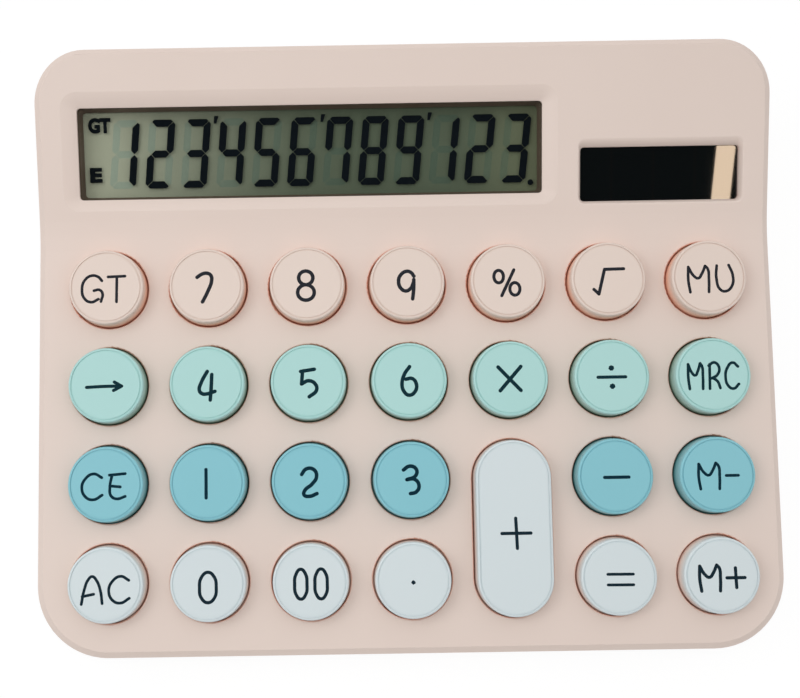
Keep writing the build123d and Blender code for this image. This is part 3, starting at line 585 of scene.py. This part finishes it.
def clear_sheet(name, tint, ior):
    """Polished clear material with a thin gloss."""
    material, tree = empty_material(name)
    place = add(tree, "ShaderNodeTexCoord").outputs["Object"]
    ripple = add(tree, "ShaderNodeTexNoise", {"Vector": place, "Scale": 1 / ripple_size, "Detail": 1})
    polish = add(tree, "ShaderNodeMapRange", {
        "Value": ripple.outputs[0], "To Min": polish_range[0], "To Max": polish_range[1],
    })
    facing = add(tree, "ShaderNodeLayerWeight", {"Blend": 0.5}).outputs["Facing"]
    grazing = add(tree, "ShaderNodeMath", {0: facing, 1: grazing_power}, operation="POWER")
    rim = add(tree, "ShaderNodeMapRange", {
        "Value": grazing.outputs[0], "To Min": ((ior - 1) / (ior + 1)) ** 2, "To Max": 1,
    })
    through = add(tree, "ShaderNodeBsdfTransparent", {"Color": linear(tint)})
    gloss = add(tree, "ShaderNodeBsdfAnisotropic", {"Roughness": polish.outputs[0]})
    mixed = add(tree, "ShaderNodeMixShader", {
        0: rim.outputs[0], 1: through.outputs[0], 2: gloss.outputs[0],
    })
    add(tree, "ShaderNodeOutputMaterial", {"Surface": mixed.outputs[0]})
    return material


def slab(name, bottom, top, edge, bevel, material):
    """Plate between two heights, an edge larger than the window all round, with its corners broken."""
    low = Vector((window_low[0] - edge, window_low[1] - edge, bottom))
    high = Vector((window_high[0] + edge, window_high[1] + edge, top))
    shape = bmesh.new()
    bmesh.ops.create_cube(shape, size=1)
    bmesh.ops.scale(shape, vec=(high - low) * mm, verts=shape.verts)
    bmesh.ops.translate(shape, vec=(high + low) / 2 * mm, verts=shape.verts)
    bmesh.ops.bevel(shape, geom=shape.edges, offset=bevel * mm, segments=2, profile=0.5, affect="EDGES")
    shape.transform(display)
    return finished_mesh(name, shape, material)


clear_acrylic = clear_sheet("acrylic_sheet_polished", "#FAFBFA", 1.49)
display_glass = clear_sheet("display_glass_polarised", "#F6F8F2", 1.2)
lens = slab("clear_lens", lens_bottom, lens_top, lens_edge, lens_bevel, clear_acrylic)
lens_piece = add_piece("clear_lens", lens, "case")
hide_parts("display_lens")
glass = slab("display_glass", glass_bottom, glass_top, glass_edge, glass_bevel, display_glass)
glass_piece = add_piece("display_glass", glass, "case")
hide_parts("lcd_panel")
print("lens and glass", len(lens.polygons), len(glass.polygons), "faces")

# %% [markdown]
# The reflector is a matt olive film. Painted light and shade lie along it: from the camera's place the
# left end is painted pale, the middle dark and the right end a little lighter again, standing in for how
# the crystal looks lighter or darker with the angle it is seen at. The frame is ABS as the case is, in
# a dark brown.

# %% Reflector and frame
# Painted light and shade along the film: pale at the left end, dark in the middle, lighter at the right.
painted_pale_end, painted_dark_middle, painted_light_right_end = linear("#C6C6B7"), linear("#5F685A"), linear("#787C67")
pale_reach = (-66.7 * mm, -4.9 * mm)
pale_falloff = 2.2
right_reach = (12 * mm, 28.4 * mm)
fleck_size = 0.3 * mm
olive_film, tree = empty_material("reflector_film_olive")
place = add(tree, "ShaderNodeTexCoord").outputs["Object"]
along = add(tree, "ShaderNodeSeparateXYZ", {"Vector": place}).outputs["X"]
nearness = add(tree, "ShaderNodeMapRange", {
    "Value": along, "From Min": pale_reach[1], "From Max": pale_reach[0],
}).outputs["Result"]
pale = add(tree, "ShaderNodeMath", {0: nearness, 1: pale_falloff}, operation="POWER").outputs[0]
right = add(tree, "ShaderNodeMapRange", {
    "Value": along, "From Min": right_reach[0], "From Max": right_reach[1],
}).outputs["Result"]
tone = add(tree, "ShaderNodeMix", {0: right, 6: painted_dark_middle, 7: painted_light_right_end}, data_type="RGBA").outputs[2]
tone = add(tree, "ShaderNodeMix", {0: pale, 6: tone, 7: painted_pale_end}, data_type="RGBA").outputs[2]
fleck = add(tree, "ShaderNodeTexNoise", {"Vector": place, "Scale": 1 / fleck_size, "Detail": 2})
matt = add(tree, "ShaderNodeMapRange", {"Value": fleck.outputs[0], "To Min": 0.55, "To Max": 0.65})
film = add(tree, "ShaderNodeBsdfPrincipled", {
    "Base Color": tone, "Roughness": matt.outputs[0], "Specular IOR Level": 0.2,
})
add(tree, "ShaderNodeOutputMaterial", {"Surface": film.outputs[0]})
dress(olive_film, "lcd_reflector")
frame_roughness = 0.6
umber_abs = moulded_abs(
    "abs_moulded_matt_umber", "#5A4C3D", "#554739", "#5A4C3D", frame_roughness, open_to_sky)
dress(umber_abs, "lcd_frame")

# %% [markdown]
# Twelve digits of seven segments stand between the plates. The segments are cut at 45 degrees where
# they meet, with a hair of a gap, and the whole digit leans. The segments that are off still show as a
# faint green film. A mark stands after every third digit, as a thousands separator.

# %% The segments of a digit
digit_width = 5.41
digit_height = 14.09
digit_pitch = 7.4
digit_start = (-61.35, 9.88)
digit_lean = 0.1
bar = 1.47
cut = 0.085
corner = 0.95
shown = "123456789123"
marked_places = (2, 5, 8)
lit_segments = {
    "1": "bc", "2": "abged", "3": "abgcd", "4": "fgbc", "5": "afgcd", "6": "afgedc", "7": "fabc",
    "8": "abcdefg", "9": "afgbcd",
}


def mirrored(points, flip_x, flip_y):
    """Points of a segment, mirrored to the other side of the digit or to its other half."""
    return [(digit_width - x if flip_x else x, digit_height - y if flip_y else y) for x, y in points]


middle = digit_height / 2
near = (corner + cut) / 2
far = (corner - cut) / 2
top_bar = [(corner, digit_height), (digit_width - corner, digit_height),
           (digit_width - near, digit_height - far), (digit_width - bar - cut, digit_height - bar),
           (bar + cut, digit_height - bar), (near, digit_height - far)]
left_bar = [(0, digit_height - corner), (far, digit_height - near), (bar, digit_height - bar - cut),
            (bar, middle + bar / 2 + cut), (bar / 2, middle + cut), (0, middle + bar / 2 + cut)]
middle_bar = [(bar / 2 + cut, middle), (bar + cut, middle + bar / 2),
              (digit_width - bar - cut, middle + bar / 2), (digit_width - bar / 2 - cut, middle),
              (digit_width - bar - cut, middle - bar / 2), (bar + cut, middle - bar / 2)]
segments = {
    "a": top_bar, "d": mirrored(top_bar, False, True), "g": middle_bar, "f": left_bar,
    "b": mirrored(left_bar, True, False), "e": mirrored(left_bar, False, True),
    "c": mirrored(left_bar, True, True),
}
comma_mark = [(7.85, 13.1), (7.3, 13.1), (7.45, 14.65), (8.35, 14.65)]
print(len(segments), "segments")

# %% [markdown]
# Crystal that is switched on blocks the light: it is almost black, with no gloss of its own. Crystal
# that is off only tints what lies behind it. The clear layers cast no shadow and take no part in bounced
# light, so that the light reaches the sheet and few rays are lost on the way through the stack.

# %% Lit and unlit crystal
mottle_size = 1.5 * mm
point_middle = (26.59, 9.87)
point_radius = 0.6
crystal_top = (glass_top + glass_bottom) / 2
crystal_depth = 0.02
dark_crystal, tree = empty_material("liquid_crystal_dark")
place = add(tree, "ShaderNodeTexCoord").outputs["Object"]
mottle = add(tree, "ShaderNodeTexNoise", {"Vector": place, "Scale": 1 / mottle_size, "Detail": 1})
depth = add(tree, "ShaderNodeMix", {0: mottle.outputs[0], 6: linear("#0A1016"), 7: linear("#10171D")},
            data_type="RGBA")
night = add(tree, "ShaderNodeBsdfPrincipled", {
    "Base Color": depth.outputs[2], "Roughness": 0.6, "Specular IOR Level": 0,
})
add(tree, "ShaderNodeOutputMaterial", {"Surface": night.outputs[0]})

pale_crystal, tree = empty_material("liquid_crystal_unlit")
veil = add(tree, "ShaderNodeBsdfTransparent", {"Color": linear("#F4FBFE")})
add(tree, "ShaderNodeOutputMaterial", {"Surface": veil.outputs[0]})


def crystal_mesh(name, shapes, material):
    """Thin plates with the given outlines, in millimetres on the display face."""
    shape = bmesh.new()
    for outline in shapes:
        face = shape.faces.new([shape.verts.new((x * mm, y * mm, (crystal_top - crystal_depth) * mm))
                                for x, y in outline])
        raised = bmesh.ops.extrude_face_region(shape, geom=[face])["geom"]
        verts = [part for part in raised if isinstance(part, bmesh.types.BMVert)]
        bmesh.ops.translate(shape, vec=(0, 0, crystal_depth * mm), verts=verts)
    bmesh.ops.recalc_face_normals(shape, faces=shape.faces)
    shape.transform(display)
    return finished_mesh(name, shape, material)


lit, unlit = [], []
for place_number, digit in enumerate(shown):
    for name, outline in segments.items():
        moved = [(digit_start[0] + place_number * digit_pitch + x + y * digit_lean, digit_start[1] + y)
                 for x, y in outline]
        (lit if name in lit_segments[digit] else unlit).append(moved)
    if place_number in marked_places:
        lit.append([(digit_start[0] + place_number * digit_pitch + x, digit_start[1] + y)
                    for x, y in comma_mark])
ring = [Matrix.Rotation(radians(turn), 2) @ Vector((point_radius, 0)) for turn in range(0, 360, 15)]
lit.append([(point_middle[0] + spoke.x, point_middle[1] + spoke.y) for spoke in ring])
add_piece("digits", crystal_mesh("digits", lit, dark_crystal), "case")
unlit_piece = add_piece("unlit_segments", crystal_mesh("unlit_segments", unlit, pale_crystal), "case")
for piece in (lens_piece, glass_piece, unlit_piece):
    piece.visible_shadow = False
    piece.visible_diffuse = False
    piece.visible_glossy = False
print(len(lit), "dark shapes,", len(unlit), "unlit shapes")

# %% [markdown]
# Two small words at the left end tell the state: a running grand total and an error. They are bold
# upright letters, made from Blender's own font and thickened by its offset.

# %% The state words
boldness = 0.06


def state_word(name, text, left, bottom, width, height):
    """Bold word in a box, in millimetres on the display face."""
    words = bpy.data.curves.new(name, "FONT")
    words.body = text
    words.offset = boldness
    words.resolution_u = 4
    mesh = evaluated_mesh(bpy.data.objects.new(name, words))
    low = [min(v.co[axis] for v in mesh.vertices) for axis in (0, 1)]
    high = [max(v.co[axis] for v in mesh.vertices) for axis in (0, 1)]
    grow = (width * mm / (high[0] - low[0]), height * mm / (high[1] - low[1]))
    fit = (Matrix.Translation((left * mm, bottom * mm, crystal_top * mm))
           @ Matrix.Diagonal((grow[0], grow[1], 1, 1)) @ Matrix.Translation((-low[0], -low[1], 0)))
    mesh.transform(display @ fit)
    mesh.materials.append(dark_crystal)
    add_piece(name, mesh, "case")


state_word("state_grand_total", "GT", -65.4, 21.34, 4.71, 3.2)
state_word("state_error", "E", -65.4, 11.22, 2.6, 3.1)

# %% [markdown]
# The solar cell is amorphous silicon on the back of a glass plate: almost black, with fine brown lines
# where its strips meet, and a hard gloss from a conductive coat that mirrors more than plain glass.

# %% The solar cell
strip_width = 8.6 * mm
line_width = 0.25 * mm
cell_roughness = 0.02
cell_ior = 1.7
silicon, tree = empty_material("amorphous_silicon_glass")
place = add(tree, "ShaderNodeTexCoord").outputs["Object"]
along = add(tree, "ShaderNodeSeparateXYZ", {"Vector": place}).outputs["X"]
strips = add(tree, "ShaderNodeMath", {0: along, 1: 1 / strip_width}, operation="MULTIPLY")
turn = add(tree, "ShaderNodeMath", {0: strips.outputs[0]}, operation="FRACT")
edge = add(tree, "ShaderNodeMath", {0: turn.outputs[0], 1: line_width / strip_width},
           operation="LESS_THAN")
black = add(tree, "ShaderNodeMix", {0: edge.outputs[0], 6: linear("#060A0B"), 7: linear("#0D0C0B")},
            data_type="RGBA")
cell = add(tree, "ShaderNodeBsdfPrincipled", {
    "Base Color": black.outputs[2], "Roughness": cell_roughness, "IOR": cell_ior,
})
add(tree, "ShaderNodeOutputMaterial", {"Surface": cell.outputs[0]})
dress(silicon, "solar_cell")
print("solar cell dressed in", silicon.name)

# %% [markdown]
# The metal, rubber and inner parts are seen from below, through the open battery door or not at all,
# and each still gets its own finish, because the model may be opened later.

# %% Inner parts and underside
rough_spread = 0.06
relief_strength = 0.1
relief_depth = 0.05 * mm


def plain_finish(name, colour, shade, size, roughness, metallic=0.0, ior=1.5):
    """A finish with a colour that varies over a given size, in millimetres."""
    material, tree = empty_material(name)
    place = add(tree, "ShaderNodeTexCoord").outputs["Object"]
    noise = add(tree, "ShaderNodeTexNoise", {"Vector": place, "Scale": 1 / (size * mm), "Detail": 3})
    colours = add(tree, "ShaderNodeMix", {0: noise.outputs[0], 6: linear(colour), 7: linear(shade)},
                  data_type="RGBA")
    rough = add(tree, "ShaderNodeMapRange", {
        "Value": noise.outputs[0], "To Min": roughness - rough_spread, "To Max": roughness + rough_spread,
    })
    relief = add(tree, "ShaderNodeBump", {
        "Height": noise.outputs[0], "Strength": relief_strength, "Distance": relief_depth,
    })
    shader = add(tree, "ShaderNodeBsdfPrincipled", {
        "Base Color": colours.outputs[2], "Roughness": rough.outputs[0], "Normal": relief.outputs[0],
        "Metallic": metallic, "IOR": ior,
    })
    add(tree, "ShaderNodeOutputMaterial", {"Surface": shader.outputs[0]})
    return material


dress(plain_finish("steel_zinc_plated", "#B9BABC", "#A8A9AC", 0.5, 0.3, metallic=1), "case_screws",
      "board_screws")
dress(plain_finish("rubber_moulded_grey", "#4B4947", "#434140", 0.4, 0.8), "rubber_feet")
dress(plain_finish("paper_laminate_brown", "#9A7648", "#8A683E", 1.5, 0.55), "circuit_board")
dress(plain_finish("polyester_film_amber", "#B08A52", "#A07B48", 2, 0.35), "lcd_ribbon")
dress(plain_finish("epoxy_cast_black", "#131314", "#1B1B1C", 1, 0.35), "chip_blob")
dress(plain_finish("shrink_sleeve_blue", "#28314F", "#222A45", 1, 0.4), "capacitor")
dress(plain_finish("printed_jacket_grey", "#56585C", "#4C4E53", 3, 0.35), "battery")
dress(plain_finish("nickel_plated_sheet", "#C9C5BC", "#BDB9B0", 0.5, 0.25, metallic=1),
      "battery_contact_negative", "battery_contact_positive")
dress(plain_finish("vinyl_wire_red", "#B0282A", "#A02325", 1, 0.4), "solar_lead_red", "battery_lead_red")
dress(plain_finish("vinyl_wire_black", "#1C1C1D", "#232324", 1, 0.4), "solar_lead_black",
      "battery_lead_black")
print("inner parts dressed")

# %% [markdown]
# A silicone dome stands under each key and buckles when the key is pressed. A rigid solid can't show
# that. The mat is made here again in pieces: the flat sheet, cut from the solid at the foot of its
# domes, and one hollow dome for each key, built in rings, each with a mesh of its own.

# %% The silicone mat
board_height = -8.4
sheet_height = -7.6
cut_margin = 0.1
weld_distance = 0.001 * mm
rim_reach = 7 * mm
dome_rings = ((2.6, 2.3), (4.8, 0), (5.6, 0.8), (3.4, 3.9))
ring_points = 48
silicone = plain_finish("silicone_moulded_milky", "#D5D4CF", "#CBCAC4", 1, 0.5)
to_deck = deck.inverted()


def dome_middle(name):
    """Middle of a key, in the deck's X and Y."""
    points = [to_deck @ vertex.co for vertex in nodes[name].data.vertices]
    return Vector([(min(p[i] for p in points) + max(p[i] for p in points)) / 2 for i in (0, 1)])


def mat_piece(name, shape):
    """Silicone piece on the case, with its faces turned outwards."""
    bmesh.ops.recalc_face_normals(shape, faces=shape.faces)
    return add_piece(name, finished_mesh(name, shape, silicone), "case")


def within_reach(edge, middle):
    """Whether an edge lies within reach of a dome's middle."""
    return all(((to_deck @ vertex.co).xy - middle).length < rim_reach for vertex in edge.verts)


dome_middles = {name: dome_middle(name) for name in nodes if name.startswith("key_")}
sheet = bmesh.new()
sheet.from_mesh(nodes["keypad_mat"].data)
bmesh.ops.remove_doubles(sheet, verts=sheet.verts, dist=weld_distance)
cut_height = (sheet_height + cut_margin) * mm
above = [vertex for vertex in sheet.verts if (to_deck @ vertex.co).z > cut_height]
bmesh.ops.delete(sheet, geom=above, context="VERTS")
for middle in dome_middles.values():
    rims = [edge for edge in sheet.edges if edge.is_boundary and within_reach(edge, middle)]
    bmesh.ops.bridge_loops(sheet, edges=rims)
mat_sheet = mat_piece("silicone_sheet", sheet)
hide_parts("keypad_mat")
turns = [Matrix.Rotation(radians(360 * i / ring_points), 3, "Z") for i in range(ring_points)]
for name, middle in dome_middles.items():
    foot = deck @ Vector((*middle, board_height * mm))
    dome = bmesh.new()
    rings = []
    for radius, height in dome_rings:
        spoke = Vector((radius * mm, 0, height * mm))
        rings.append([dome.verts.new(foot + deck.to_3x3() @ (turn @ spoke)) for turn in turns])
    for lower, upper in zip(rings, rings[1:]):
        for i in range(ring_points):
            dome.faces.new((lower[i - 1], lower[i], upper[i], upper[i - 1]))
    dome.faces.new(rings[0])
    dome.faces.new(rings[-1])
    piece = mat_piece(name.replace("key_", "silicone_dome_"), dome)
    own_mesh(piece)
print("sheet of", len(mat_sheet.data.polygons), "faces and", len(dome_middles), "domes")
